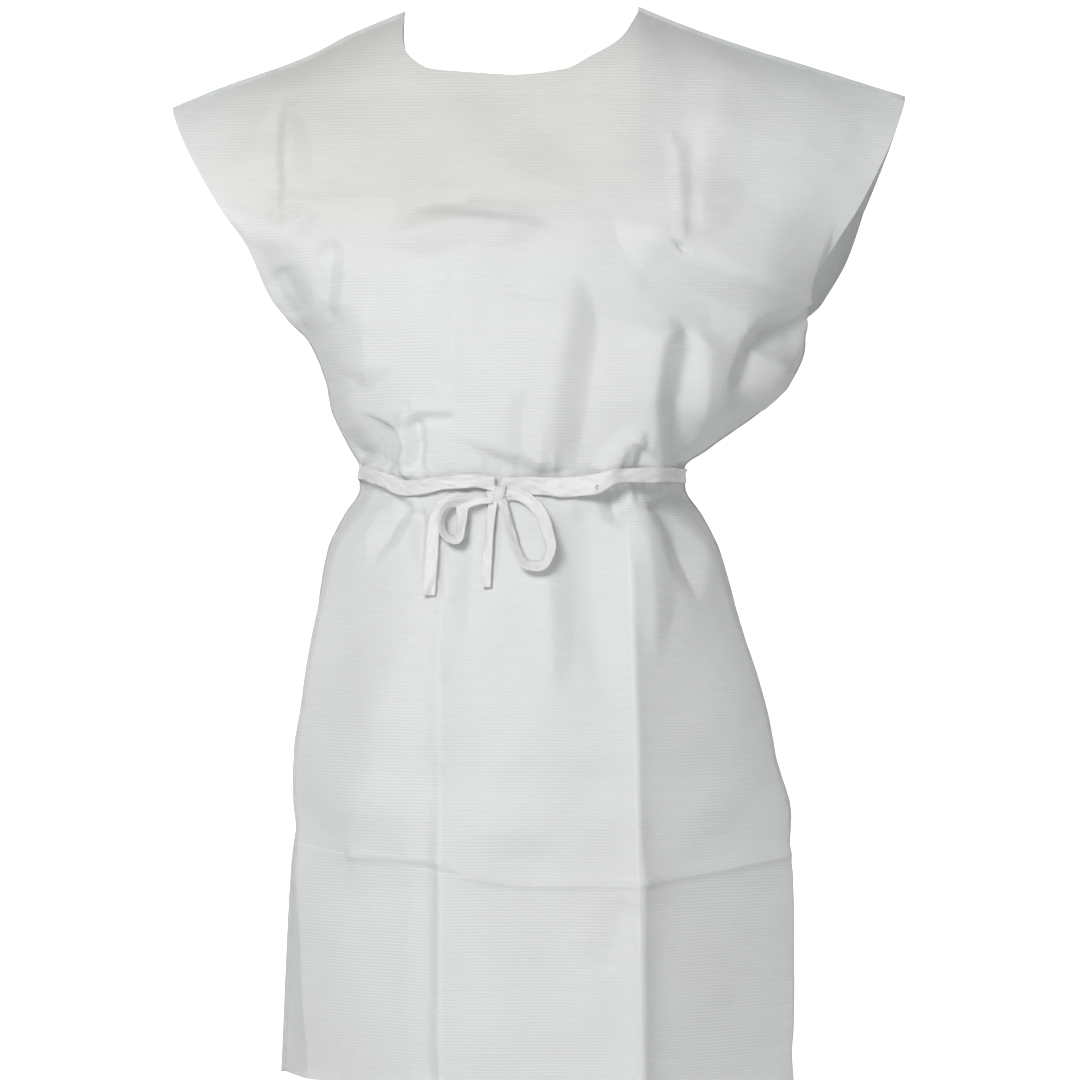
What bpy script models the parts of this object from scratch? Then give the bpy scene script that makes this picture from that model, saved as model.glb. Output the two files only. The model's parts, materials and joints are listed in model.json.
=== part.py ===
"""Disposable patient gown in its worn shape: two sheets bonded at the shoulders and sides, open down
the back, with a flat strap tied in a bow at the waist.

+Z is up and the front faces -Y. The origin is between the two neck ends of the shoulder seams, where the
wearer's shoulders hold the gown up. Left and right are as seen from the front: left is -X.
"""
import math

import bmesh
import bpy
from mathutils import Vector

# Driving dimensions, in metres
GOWN_LENGTH = 1.067
SHEET_THICKNESS = 0.0016
GAP = 0.0004
NECK_HALF_WIDTH = 0.117
NECK_DROP = 0.072
SHOULDER_TIPS = {"left": (-0.349, -0.098), "right": (0.383, -0.087)}
UNDERARM_Z = -0.300
SEAM_RADIUS = 0.0014
SEAM_ROOM = 0.0030
BACK_OPENING = 0.010
BACK_OPENING_AT_HEM = 0.034

WAIST_Z = -0.468
YOKE_ROWS = 6
FRONT_COLUMNS = 30
BACK_COLUMNS = 14
CREASE_COLUMN = 8
TIE_WIDTH = 0.014
TIE_THICKNESS = 0.0012
TIE_STANDOFF = 0.0036
TIE_RISE = 0.004
TIE_SAG = 0.008
TIE_WAVE = 0.004

FLAP_TOP_Z = -0.520
FLAP_GAP = 0.0012
FOLD_TOP_X = 0.128
FOLD_HEM_X = 0.185

KNOT_X = -0.022
KNOT_SIZE = (0.024, 0.013, 0.019)
KNOT_STANDOFF = 0.0045
LOOP_STRAP_WIDTH = 0.009
LOOP_STANDOFF = 0.0112
TAIL_WIDTH = 0.012
TAIL_ROOT_WIDTH = 0.004
TAIL_BUNCHED = 0.34
TAIL_STANDOFF = 0.0058
WELD_SPOT_X = 0.071

# Height, then how far the sheets reach to the left and right, and forward and back, at that height
STATIONS = [
    (-0.092, -0.349, 0.383, 0.112, 0.098),
    (-0.200, -0.299, 0.333, 0.124, 0.112),
    (-0.285, -0.252, 0.288, 0.128, 0.112),
    (-0.350, -0.204, 0.284, 0.127, 0.108),
    (-0.400, -0.192, 0.244, 0.122, 0.103),
    (-0.438, -0.172, 0.190, 0.114, 0.097),
    (-0.458, -0.163, 0.165, 0.106, 0.090),
    (-0.478, -0.163, 0.165, 0.106, 0.090),
    (-0.500, -0.178, 0.184, 0.112, 0.097),
    (-0.520, -0.188, 0.196, 0.116, 0.101),
    (-0.590, -0.206, 0.218, 0.124, 0.110),
    (-0.740, -0.222, 0.256, 0.138, 0.122),
    (-0.860, -0.232, 0.273, 0.146, 0.132),
    (-1.067, -0.244, 0.271, 0.152, 0.150),
]


def clamp(value, low=0.0, high=1.0):
    return max(low, min(high, value))


def smoothstep(value):
    value = clamp(value)
    return value * value * (3 - 2 * value)


def station(z, column):
    """One column of STATIONS at height z, on a smooth curve that never overshoots the rows."""
    rows = STATIONS
    if z >= rows[0][0]:
        return rows[0][column]
    if z <= rows[-1][0]:
        return rows[-1][column]
    i = next(k for k in range(len(rows) - 1) if rows[k + 1][0] <= z)
    z0, z1 = rows[i][0], rows[i + 1][0]
    y0, y1 = rows[i][column], rows[i + 1][column]

    def slope(k):
        if k == 0 or k == len(rows) - 1:
            return 0.0
        before = (rows[k][column] - rows[k - 1][column]) / (rows[k][0] - rows[k - 1][0])
        after = (rows[k + 1][column] - rows[k][column]) / (rows[k + 1][0] - rows[k][0])
        return 2 * before * after / (before + after) if before * after > 0 else 0.0
    u = (z - z0) / (z1 - z0)
    span = z1 - z0
    return ((2 * u ** 3 - 3 * u ** 2 + 1) * y0 + (u ** 3 - 2 * u ** 2 + u) * span * slope(i)
            + (3 * u ** 2 - 2 * u ** 3) * y1 + (u ** 3 - u ** 2) * span * slope(i + 1))


def edge_x(z, side):
    return station(z, 1 if side == "left" else 2)


def shoulder_z(x):
    """Height of the shoulder line, level across the neck and sloping down to each tip."""
    tip_x, tip_z = SHOULDER_TIPS["left" if x < 0 else "right"]
    return tip_z * clamp((abs(x) - NECK_HALF_WIDTH) / (abs(tip_x) - NECK_HALF_WIDTH))


def section(t):
    """How round a level section is: 1 in the middle, 0 at the side."""
    return math.sqrt(max(0.0, 1 - abs(t) ** 2.4))


def fold_line(z, side):
    """The straight crease in the back that a skirt flap swings on, at height z."""
    sign = -1 if side == "left" else 1
    ends = []
    for x, end_z in ((FOLD_TOP_X, FLAP_TOP_Z), (FOLD_HEM_X, -GOWN_LENGTH)):
        y = station(end_z, 4) * section(x / edge_x(end_z, side)) + SEAM_ROOM
        ends.append(Vector((sign * x, y, end_z)))
    return ends[0].lerp(ends[1], (FLAP_TOP_Z - z) / (GOWN_LENGTH + FLAP_TOP_Z))


def tie_z(x, face):
    """The strap's height: level behind, and wavy in front, where it sags between the sides."""
    if face == "back":
        return WAIST_Z + TIE_RISE
    share = (x / 0.165) ** 2
    return WAIST_Z - TIE_SAG + (TIE_RISE + TIE_SAG) * share + TIE_WAVE * (1 - share) * math.sin(43 * (x + 0.08))


def worn_y(x, z, face):
    """How far forward (-Y) or back (+Y) a sheet hangs. face is front or back."""
    side = "left" if x < 0 else "right"
    t = clamp(x / edge_x(z, side), 0, 1)
    if face == "front":
        depth = station(z - (tie_z(x, face) - WAIST_Z) * math.exp(-((z - WAIST_Z) / 0.06) ** 2), 3)
    elif z > FLAP_TOP_Z:
        depth = station(z, 4)
    else:
        fold = fold_line(z, side)
        depth = (fold.y - SEAM_ROOM) / section(fold.x / edge_x(z, side))
    tip_z = SHOULDER_TIPS[side][1]
    armhole = math.sin(math.pi * clamp((tip_z - z) / (tip_z - UNDERARM_Z)))
    below = max(0.0, shoulder_z(x) - z)
    y = depth * section(t) + 0.040 * armhole * t ** 4
    y = y * (1 - math.exp(-below / 0.045)) + SEAM_ROOM
    return -y if face == "front" else y


def top_edge(u, side):
    """The cut top edge of one half, from the neck's lowest point (0) to the shoulder tip (1)."""
    tip = SHOULDER_TIPS[side]
    neck_share = 0.40
    sign = -1 if side == "left" else 1
    if u < neck_share:
        angle = u / neck_share * math.pi / 2
        width, drop = math.sin(angle) ** 0.85, math.cos(angle) ** 0.75
        return sign * NECK_HALF_WIDTH * width, -NECK_DROP * drop
    run = (u - neck_share) / (1 - neck_share)
    x = sign * NECK_HALF_WIDTH + run * (tip[0] - sign * NECK_HALF_WIDTH)
    return x, run * tip[1]


def levels():
    """Heights of the sheet's rows below the yoke: each station and the height halfway to the next."""
    heights = [row[0] for row in STATIONS[1:]]
    halfway = [(a + b) / 2 for a, b in zip(heights, heights[1:])]
    return sorted(heights + halfway, reverse=True)


LEVELS = levels()
SHEET_ROWS = YOKE_ROWS + len(LEVELS) - 1
FLAP_TOP_ROW = YOKE_ROWS + LEVELS.index(FLAP_TOP_Z)


def sheet_point(u, row, side, x_at):
    """A point of a half sheet, u from its middle to its side. x_at(u, z) spaces the columns below the yoke."""
    if row >= YOKE_ROWS:
        z = LEVELS[row - YOKE_ROWS]
        return x_at(u, z), z
    top_x, top_z = top_edge(u, side)
    share = row / YOKE_ROWS
    x = top_x + share * (x_at(u, LEVELS[0]) - top_x)
    z = top_z + share * (LEVELS[0] - top_z)
    return x, z


def mapped_grid(columns, rows, place):
    """A flat grid, each of whose points goes where place(u, v) says, u and v from 0 to 1."""
    bm = bmesh.new()
    bmesh.ops.create_grid(bm, x_segments=columns, y_segments=rows, size=0.5)
    for vert in bm.verts:
        vert.co = place(vert.co.x + 0.5, vert.co.y + 0.5)
    return bm


def paint(name, colour, roughness):
    material = bpy.data.materials.new(name)
    material.use_nodes = True
    shader = material.node_tree.nodes["Principled BSDF"]
    shader.inputs["Base Color"].default_value = (*colour, 1)
    shader.inputs["Roughness"].default_value = roughness
    shader.inputs["Metallic"].default_value = 0.0
    return material


def finish_mesh(name, bm, material, collection):
    bmesh.ops.recalc_face_normals(bm, faces=bm.faces)
    mesh = bpy.data.meshes.new(name)
    bm.to_mesh(mesh)
    bm.free()
    mesh.shade_smooth()
    obj = bpy.data.objects.new(name, mesh)
    obj.data.materials.append(material)
    collection.objects.link(obj)
    return obj


def solidify(obj, thickness, offset=0.0):
    shell = obj.modifiers.new("thickness", 'SOLIDIFY')
    shell.thickness = thickness
    shell.offset = offset
    shell.use_even_offset = False
    return obj


def ride_on(obj, pivot):
    """Puts a moving piece under the empty on its joint's axis without moving it."""
    obj.parent = pivot
    obj.matrix_parent_inverse = pivot.matrix_world.inverted()


def pivot_at(name, point, collection):
    pivot = bpy.data.objects.new(name, None)
    pivot.location = point
    pivot.empty_display_size = 0.03
    collection.objects.link(pivot)
    bpy.context.view_layer.update()
    return pivot


def make_front_panel(material, collection):
    def place(u, v):
        side = "left" if u < 0.5 else "right"
        x, z = sheet_point(abs(2 * u - 1), round((1 - v) * SHEET_ROWS), side,
                           lambda share, height: share * edge_x(height, side))
        return Vector((x, worn_y(x, z, "front"), z))
    bm = mapped_grid(FRONT_COLUMNS, SHEET_ROWS, place)
    return solidify(finish_mesh("front_panel", bm, material, collection), SHEET_THICKNESS)


def opening_half(z):
    """Half the gap between the two back edges, which widens below the waist."""
    spread = smoothstep((WAIST_Z - z) / (GOWN_LENGTH + WAIST_Z))
    return (BACK_OPENING + spread * (BACK_OPENING_AT_HEM - BACK_OPENING)) / 2


def back_x(u, z, side):
    """Columns run evenly from the back edge to the crease, then evenly on to the side seam."""
    sign = -1 if side == "left" else 1
    crease = sign * fold_line(min(z, FLAP_TOP_Z), side).x
    side_x = sign * edge_x(z, side)
    inner = opening_half(z)
    crease_share = CREASE_COLUMN / BACK_COLUMNS
    if u <= crease_share:
        return sign * (inner + u / crease_share * (crease - inner))
    return sign * (crease + (u - crease_share) / (1 - crease_share) * (side_x - crease))


def make_back_half(side, material, collection):
    """The back half: everything above the flap's top edge, and the strip beside the side seam."""
    sign = -1 if side == "left" else 1
    bm = bmesh.new()
    bmesh.ops.create_grid(bm, x_segments=BACK_COLUMNS, y_segments=SHEET_ROWS, size=0.5)
    flap_faces = []
    for face in bm.faces:
        middle = face.calc_center_median()
        column, row = (middle.x + 0.5) * BACK_COLUMNS, (0.5 - middle.y) * SHEET_ROWS
        if column < CREASE_COLUMN and row > FLAP_TOP_ROW:
            flap_faces.append(face)
    bmesh.ops.delete(bm, geom=flap_faces, context='FACES')
    for vert in bm.verts:
        column, row = round((vert.co.x + 0.5) * BACK_COLUMNS), round((0.5 - vert.co.y) * SHEET_ROWS)
        x, z = sheet_point(column / BACK_COLUMNS, row, side, lambda u, height: back_x(u, height, side))
        if row == FLAP_TOP_ROW and column <= CREASE_COLUMN:
            z += FLAP_GAP
        if column == CREASE_COLUMN and row >= FLAP_TOP_ROW:
            x += sign * FLAP_GAP
        vert.co = Vector((x, worn_y(x, z, "back"), z))
    return solidify(finish_mesh("back_panel_" + side, bm, material, collection), SHEET_THICKNESS)


def make_back_flap(side, material, collection):
    """The part of the back half below the waist that folds open on its straight crease."""
    sign = -1 if side == "left" else 1
    rows = SHEET_ROWS - FLAP_TOP_ROW

    def place(u, v):
        row = FLAP_TOP_ROW + round((1 - v) * rows)
        z = LEVELS[row - YOKE_ROWS]
        x = back_x(u * CREASE_COLUMN / BACK_COLUMNS, z, side) - sign * FLAP_GAP * u
        z = min(z, FLAP_TOP_Z - FLAP_GAP)
        return Vector((x, worn_y(x, z, "back"), z))
    bm = mapped_grid(CREASE_COLUMN, rows, place)
    flap = solidify(finish_mesh("back_flap_" + side, bm, material, collection), SHEET_THICKNESS)
    ride_on(flap, pivot_at("flap_crease_" + side, fold_line(FLAP_TOP_Z, side), collection))
    return flap


def make_bead(name, points, radius, material, collection):
    """A bonded seam, as a thin round bead along its line."""
    curve = bpy.data.curves.new(name, 'CURVE')
    curve.dimensions = '3D'
    curve.bevel_depth = radius
    curve.bevel_resolution = 1
    curve.use_fill_caps = True
    spline = curve.splines.new('POLY')
    spline.points.add(len(points) - 1)
    for target, point in zip(spline.points, points):
        target.co = (*point, 1)
    curve.materials.append(material)
    obj = bpy.data.objects.new(name, curve)
    collection.objects.link(obj)
    return obj


def make_shoulder_seam(side, material, collection):
    steps = 10
    sign = -1 if side == "left" else 1
    tip_x, tip_z = SHOULDER_TIPS[side]
    points = []
    for i in range(steps + 1):
        x = sign * NECK_HALF_WIDTH + i / steps * (tip_x - sign * NECK_HALF_WIDTH)
        points.append((x, 0.0, i / steps * tip_z - SEAM_RADIUS))
    return make_bead("shoulder_seam_" + side, points, SEAM_RADIUS, material, collection)


def make_side_seam(side, material, collection):
    points = [(edge_x(z, side), 0.0, z) for z in LEVELS if z < UNDERARM_Z]
    return make_bead("side_seam_" + side, points, SEAM_RADIUS, material, collection)


def make_ribbon(name, steps, place, material, collection):
    """A flat strap: place(u) gives its middle and the vector from edge to edge, u from 0 to 1."""
    def point(u, v):
        middle, across = place(u)
        return middle + across * (v - 0.5)
    bm = mapped_grid(steps, 1, point)
    return solidify(finish_mesh(name, bm, material, collection), TIE_THICKNESS)


def waist_point(angle, standoff=TIE_STANDOFF):
    """The strap round the waist: angle 0 is the middle of the front, positive towards +X."""
    def on_sheet(a):
        side = "left" if math.sin(a) < 0 else "right"
        face = "front" if math.cos(a) > 0 else "back"
        x = edge_x(WAIST_Z, side) * abs(math.sin(a)) ** (2 / 2.4)
        depth = station(WAIST_Z, 3 if face == "front" else 4) * abs(math.cos(a)) + SEAM_ROOM
        return Vector((x, -depth if face == "front" else depth, tie_z(x, face)))
    ahead, behind = on_sheet(angle + 0.02), on_sheet(angle - 0.02)
    along = ahead - behind
    outward = Vector((along.y, -along.x, 0)).normalized()
    return on_sheet(angle) + outward * standoff, outward


def waist_angle(x):
    """The angle at which the strap's front passes x."""
    share = abs(x / edge_x(WAIST_Z, "left" if x < 0 else "right")) ** (2.4 / 2)
    return math.copysign(math.asin(share), x)


def make_waist_tie(material, collection):
    start = waist_angle(KNOT_X + KNOT_SIZE[0] / 2 + GAP)
    end = waist_angle(KNOT_X - KNOT_SIZE[0] / 2 - GAP) + 2 * math.pi

    def place(u):
        return waist_point(start + u * (end - start))[0], Vector((0, 0, TIE_WIDTH))
    return make_ribbon("waist_tie", 90, place, material, collection)


def knot_centre():
    return waist_point(waist_angle(KNOT_X))[0] + Vector((0, -KNOT_STANDOFF, -KNOT_STANDOFF))


def make_knot(material, collection):
    bm = bmesh.new()
    bmesh.ops.create_uvsphere(bm, u_segments=16, v_segments=10, radius=0.5)
    for vert in bm.verts:
        vert.co = Vector((vert.co.x * KNOT_SIZE[0], vert.co.y * KNOT_SIZE[1], vert.co.z * KNOT_SIZE[2]))
    knot = finish_mesh("bow_knot", bm, material, collection)
    knot.location = knot_centre()
    return knot


def hang_before_sheet(point, standoff):
    """The same point moved along Y to hang just in front of the front sheet."""
    return Vector((point.x, worn_y(point.x, point.z, "front") - standoff, point.z))


# Middle lines of the bow's hanging straps, across and up from the knot's centre
LOOP_ROUTES = {
    "left": [(-0.0155, 0.000), (-0.026, 0.001), (-0.035, -0.010), (-0.034, -0.030), (-0.041, -0.050),
             (-0.051, -0.047), (-0.054, -0.028), (-0.048, -0.010), (-0.040, -0.003)],
    "right": [(0.0155, -0.003), (0.027, -0.005), (0.038, -0.020), (0.048, -0.042), (0.051, -0.060),
              (0.043, -0.073), (0.029, -0.075), (0.018, -0.060), (0.011, -0.040), (0.006, -0.020),
              (0.005, -0.014)],
}
TAIL_ROUTES = {
    "left": [(-0.0135, 0.000), (-0.040, 0.000), (-0.058, -0.006), (-0.069, -0.028), (-0.071, -0.062),
             (-0.069, -0.104)],
    "right": [(-0.005, -0.0125), (-0.009, -0.035), (-0.0105, -0.065), (-0.0115, -0.098)],
}


def along_route(route, u):
    """A point on the smooth curve through a route's points, u from 0 to 1."""
    place = u * (len(route) - 1)
    i = min(int(place), len(route) - 2)
    t = place - i
    before, start = Vector(route[max(i - 1, 0)]), Vector(route[i])
    end, after = Vector(route[i + 1]), Vector(route[min(i + 2, len(route) - 1)])
    return 0.5 * (2 * start + (end - before) * t + (2 * before - 5 * start + 4 * end - after) * t ** 2
                  + (3 * start - before - 3 * end + after) * t ** 3)


def make_bow_loop(side, material, collection):
    """A hanging loop of strap, turned partly edge-on: from the knot out and down, and back up to it."""
    knot = knot_centre()

    def place(u):
        spot = along_route(LOOP_ROUTES[side], u)
        middle = knot + Vector((spot.x, 0, spot.y))
        across = Vector((0.45, -0.75, 0.15)).normalized() * LOOP_STRAP_WIDTH
        return hang_before_sheet(middle, LOOP_STANDOFF), across
    return make_ribbon("bow_loop_" + side, 26, place, material, collection)


def make_tail(side, material, collection):
    """A free end of the strap: its flat lies against the sheet, and it turns down in its own plane."""
    knot = knot_centre()

    def place(u):
        spot, ahead = along_route(TAIL_ROUTES[side], u), along_route(TAIL_ROUTES[side], min(u + 0.01, 1))
        behind = along_route(TAIL_ROUTES[side], max(u - 0.01, 0))
        along = (ahead - behind).normalized()
        middle = knot + Vector((spot.x, 0, spot.y))
        spread = smoothstep((u - TAIL_BUNCHED) / TAIL_BUNCHED) if side == "left" else 1
        width = TAIL_ROOT_WIDTH + spread * (TAIL_WIDTH - TAIL_ROOT_WIDTH)
        return hang_before_sheet(middle, TAIL_STANDOFF), Vector((-along.y, 0, along.x)) * width
    return make_ribbon("tie_tail_" + side, 16, place, material, collection)


def make_bow(material, collection):
    """The left loop and tail leave the knot together and swing as one; the right ones swing alone."""
    make_knot(material, collection)
    bow_left = pivot_at("bow_left_pivot", knot_centre(), collection)
    ride_on(make_bow_loop("left", material, collection), bow_left)
    ride_on(make_tail("left", material, collection), bow_left)
    ride_on(make_bow_loop("right", material, collection), pivot_at("loop_right_pivot", knot_centre(), collection))
    ride_on(make_tail("right", material, collection), pivot_at("tail_right_pivot", knot_centre(), collection))


def make_weld_spot(material, collection):
    """The small spot that holds the strap to the front sheet."""
    bm = bmesh.new()
    bmesh.ops.create_cone(bm, cap_ends=True, segments=16, radius1=0.0022, radius2=0.0022, depth=0.0010)
    spot = finish_mesh("tie_weld_spot", bm, material, collection)
    centre, outward = waist_point(waist_angle(WELD_SPOT_X))
    spot.location = centre + outward * (TIE_THICKNESS / 2 + 0.0006 + GAP)
    spot.rotation_euler = outward.to_track_quat('Z', 'Y').to_euler()
    return spot


def clear_scene():
    for obj in list(bpy.data.objects):
        bpy.data.objects.remove(obj, do_unlink=True)


def build():
    clear_scene()
    collection = bpy.data.collections.new("patient_gown")
    bpy.context.scene.collection.children.link(collection)
    paper = paint("tissue_laminate", (0.80, 0.81, 0.80), 0.85)
    bond = paint("bonded_seam", (0.62, 0.63, 0.62), 0.6)
    strap = paint("strap_film", (0.86, 0.87, 0.86), 0.55)
    make_front_panel(paper, collection)
    make_waist_tie(strap, collection)
    make_bow(strap, collection)
    make_weld_spot(bond, collection)
    for side in ("left", "right"):
        make_back_half(side, paper, collection)
        make_back_flap(side, paper, collection)
        make_shoulder_seam(side, bond, collection)
        make_side_seam(side, bond, collection)


build()
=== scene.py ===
"""Disposable patient gown, worn shape: white tissue laminate, open down the back, strap tied at the waist."""
import json
import math

import bmesh
import bpy
import numpy as np
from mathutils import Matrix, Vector


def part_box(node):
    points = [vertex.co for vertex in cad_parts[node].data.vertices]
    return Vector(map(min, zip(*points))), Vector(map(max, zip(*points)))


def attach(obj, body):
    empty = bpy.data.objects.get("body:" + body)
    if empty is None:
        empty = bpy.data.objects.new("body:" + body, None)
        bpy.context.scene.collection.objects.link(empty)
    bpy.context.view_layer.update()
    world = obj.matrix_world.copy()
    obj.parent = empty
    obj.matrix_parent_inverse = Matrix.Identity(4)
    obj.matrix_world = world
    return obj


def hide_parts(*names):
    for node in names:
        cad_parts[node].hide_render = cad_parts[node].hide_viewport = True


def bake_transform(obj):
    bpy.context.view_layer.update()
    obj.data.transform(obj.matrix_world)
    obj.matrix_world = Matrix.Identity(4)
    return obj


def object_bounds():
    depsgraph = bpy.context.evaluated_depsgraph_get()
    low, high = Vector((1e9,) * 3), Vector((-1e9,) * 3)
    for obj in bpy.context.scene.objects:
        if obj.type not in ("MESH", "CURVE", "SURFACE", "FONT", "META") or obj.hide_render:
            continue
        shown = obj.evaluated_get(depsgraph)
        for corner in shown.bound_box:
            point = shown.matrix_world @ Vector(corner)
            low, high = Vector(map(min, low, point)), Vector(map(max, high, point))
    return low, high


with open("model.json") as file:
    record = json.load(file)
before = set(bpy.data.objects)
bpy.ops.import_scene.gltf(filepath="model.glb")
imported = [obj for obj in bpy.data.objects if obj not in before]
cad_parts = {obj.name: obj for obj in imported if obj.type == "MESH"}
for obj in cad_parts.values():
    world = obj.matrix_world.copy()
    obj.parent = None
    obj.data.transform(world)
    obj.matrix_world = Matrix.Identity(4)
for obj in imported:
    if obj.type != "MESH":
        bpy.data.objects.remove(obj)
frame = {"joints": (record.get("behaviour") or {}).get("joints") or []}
cad_low, cad_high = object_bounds()


# ---------------------------------------------------------------------------------------------------
# Tissue laminate: two soft tissue plies on a thin film, embossed with fine level ribs. It is matt and
# white, and the light that comes through it softens every fold.
# ---------------------------------------------------------------------------------------------------

class Wire:
    """A shader socket that can be used in sums: operators add Math nodes."""

    def __init__(self, tree, socket):
        self.tree = tree
        self.socket = socket

    def math(self, operation, *values):
        return Nodes(self.tree).node("ShaderNodeMath", {"operation": operation}, dict(enumerate(values)))

    def __add__(self, other):
        return self.math("ADD", self, other)

    def __radd__(self, other):
        return self.math("ADD", other, self)

    def __sub__(self, other):
        return self.math("SUBTRACT", self, other)

    def __rsub__(self, other):
        return self.math("SUBTRACT", other, self)

    def __mul__(self, other):
        return self.math("MULTIPLY", self, other)

    def __rmul__(self, other):
        return self.math("MULTIPLY", other, self)

    def sine(self):
        return self.math("SINE", self)

    def size(self):
        return self.math("ABSOLUTE", self)

    def clamped(self):
        return Nodes(self.tree).node("ShaderNodeClamp", inputs={0: self})


class Nodes:
    """A material's node tree: node makes any node, and place and noise the two most used."""

    def __init__(self, tree):
        self.tree = tree

    def node(self, kind, settings=None, inputs=None, output=0):
        made = self.tree.nodes.new(kind)
        for name, value in (settings or {}).items():
            setattr(made, name, value)
        for name, value in (inputs or {}).items():
            if isinstance(value, Wire):
                self.tree.links.new(value.socket, made.inputs[name])
            else:
                made.inputs[name].default_value = value
        return Wire(self.tree, made.outputs[output])

    def place(self):
        """Where a point of the surface lies on its piece."""
        return self.node("ShaderNodeTexCoord", output=3)

    def noise(self, place, scale, detail):
        return self.node("ShaderNodeTexNoise", inputs={"Vector": place, "Scale": scale, "Detail": detail})


def new_finish(name, through=0.0):
    """An empty material: a Principled BSDF, and where light comes through, a share of a Translucent BSDF.
    Returns the material, its nodes and the Principled BSDF."""
    material = bpy.data.materials.new(name)
    material.use_nodes = True
    tree = material.node_tree
    tree.nodes.clear()
    output = tree.nodes.new("ShaderNodeOutputMaterial")
    skin = tree.nodes.new("ShaderNodeBsdfPrincipled")
    nodes = Nodes(tree)
    shown = Wire(tree, skin.outputs[0])
    if through:
        glow = nodes.node("ShaderNodeBsdfTranslucent", inputs={0: (0.88, 0.90, 0.90, 1.0)})
        shown = nodes.node("ShaderNodeMixShader", inputs={0: through, 1: shown, 2: glow})
    tree.links.new(shown.socket, output.inputs[0])
    return material, nodes, skin


def shaded(nodes, colour, shade):
    """A colour darkened by a shade that varies over the surface."""
    return nodes.node("ShaderNodeMix", {"data_type": "RGBA", "blend_type": "MULTIPLY"},
                      {0: 1.0, 6: colour, 7: shade}, output=2)


def cover(nodes, skin, colour, relief, strength, roughness):
    """Sends a colour and a relief to the surface, and sets how rough it is."""
    bump = nodes.node("ShaderNodeBump", inputs={"Strength": strength, "Distance": 1.0, "Height": relief})
    nodes.tree.links.new(colour.socket, skin.inputs["Base Color"])
    nodes.tree.links.new(bump.socket, skin.inputs["Normal"])
    skin.inputs["Roughness"].default_value = roughness


RIB_PITCH = 0.0031
RIB_DEPTH = 0.0003
MOTTLE = 0.05
COOL_WHITE = (0.835, 0.848, 0.85, 1.0)
# A warmer, darker white: painted shade over the upper chest, shoulders and left sleeve cap, and the warm end
# of the random tone drift
WARM_SHADE_WHITE = (0.745, 0.738, 0.702, 1.0)
CREASE_WHITE = (0.93, 0.94, 0.94, 1.0)
# The skirt's level crease lies lowest along a stretch off the middle and climbs to both sides
LEVEL_CREASE_Z = -0.8645
LEVEL_CREASE_X = 0.055
LEVEL_CREASE_HALF = 0.058
LEVEL_CREASE_CLIMB = 0.15
# Its upright creases start below the waist. The left one is straight, and the right one drifts outward.
UPRIGHT_TOP_Z = -0.50
UPRIGHT_LEFT_X = -0.079
UPRIGHT_RIGHT_X = 0.103


def pressed_lines(nodes, place, across, height):
    """Where the front's packing creases are crushed flat, which makes them thin lighter lines."""
    depth = nodes.node("ShaderNodeSeparateXYZ", inputs={0: place}, output=1)
    below = (UPRIGHT_TOP_Z - height).clamped()
    climb = ((across - LEVEL_CREASE_X).size() - LEVEL_CREASE_HALF).clamped() * LEVEL_CREASE_CLIMB
    from_level = (height - LEVEL_CREASE_Z - climb).size()
    from_right = (across - UPRIGHT_RIGHT_X - below * 0.035 + below * below * 0.020).size()
    from_left = (across - UPRIGHT_LEFT_X).size()
    lines = ((1 - from_level * 420).clamped() + (1 - from_right * 420).clamped() * 0.8
             + (1 - from_left * 360).clamped() * 0.5).clamped()
    return lines * (below * 30).clamped() * (depth * -30).clamped()


def tissue_finish(name):
    """Soft white tissue: level embossed ribs, cloudy fibres, and painted shade: a warmer, darker white over
    the upper chest and shoulders that reaches further over the left sleeve cap than the right."""
    material, nodes, skin = new_finish(name, through=0.14)
    place = nodes.place()
    across = nodes.node("ShaderNodeSeparateXYZ", inputs={0: place}, output=0)
    height = nodes.node("ShaderNodeSeparateXYZ", inputs={0: place}, output=2)
    wander = nodes.noise(place, 9.0, 2.0)
    rib = ((height + wander * 0.004) * (2 * math.pi / RIB_PITCH)).sine()
    rib_break = nodes.noise(place, 45.0, 2.0)
    fibres = nodes.noise(place, 900.0, 3.0)
    clouds = nodes.noise(place, 26.0, 4.0)
    drift = nodes.noise(place, 5.0, 1.0)
    relief = rib * rib_break * RIB_DEPTH + fibres * 0.00006 + clouds * 0.0004
    # Painted shade: the upper chest and shoulders, more on the left sleeve cap, are tinted a warmer, darker
    # white
    yoke = ((height + 0.250 + clouds * 0.03) * 11).clamped() * (1.50 - (across + 0.10).size() * 4.6).clamped()
    warm_shade_and_drift = (yoke * 0.85 + (drift - 0.4) * 0.5).clamped()
    tint = nodes.node("ShaderNodeMix", {"data_type": "RGBA"},
                      {0: warm_shade_and_drift, 6: COOL_WHITE, 7: WARM_SHADE_WHITE}, output=2)
    # Mottle from the clouds and fibres, and a little painted shade that darkens the troughs of the embossed
    # ribs
    shade = (clouds * 0.6 + fibres * 0.4) * MOTTLE + (1 - MOTTLE * 0.5) - (1 - rib * rib_break) * 0.014
    pressed = pressed_lines(nodes, place, across, height) * (clouds * 0.8 + 0.2)
    colour = nodes.node("ShaderNodeMix", {"data_type": "RGBA"},
                        {0: pressed, 6: shaded(nodes, tint, shade), 7: CREASE_WHITE}, output=2)
    cover(nodes, skin, colour, relief, strength=0.55, roughness=0.82)
    skin.inputs["Specular IOR Level"].default_value = 0.25
    skin.inputs["Sheen Weight"].default_value = 0.12
    return material


tissue = tissue_finish("tissue_laminate")


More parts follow.
